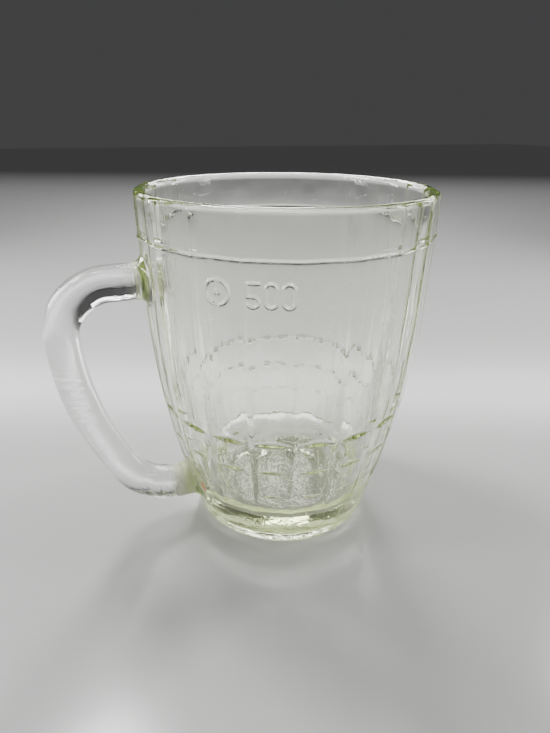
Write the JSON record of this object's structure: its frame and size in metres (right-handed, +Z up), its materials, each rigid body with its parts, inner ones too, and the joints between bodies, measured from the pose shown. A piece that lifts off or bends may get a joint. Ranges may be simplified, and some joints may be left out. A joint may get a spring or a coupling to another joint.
{
  "type": "glass handled mug",
  "caption": "Faceted, tapering pressed-glass mug with a rounded lip, rows of short cuts near the foot, a raised fill line and a clear bar handle fused to two lugs.",
  "frame": {"origin": "on the vessel's axis, at the plane the foot rests on", "axes": "+Z up along the vessel's axis; the handle points along -X; +Y is across the handle's plane"},
  "size_m": [0.1313, 0.0996, 0.124],
  "materials": {
    "vessel_glass": "fire-polished pressed glass, faint yellow-green",
    "handle_glass": "fire-polished clear glass"
  },
  "bodies": {
    "root": {"vessel": "vessel_glass", "handle": "handle_glass"}
  },
  "joints": []
}
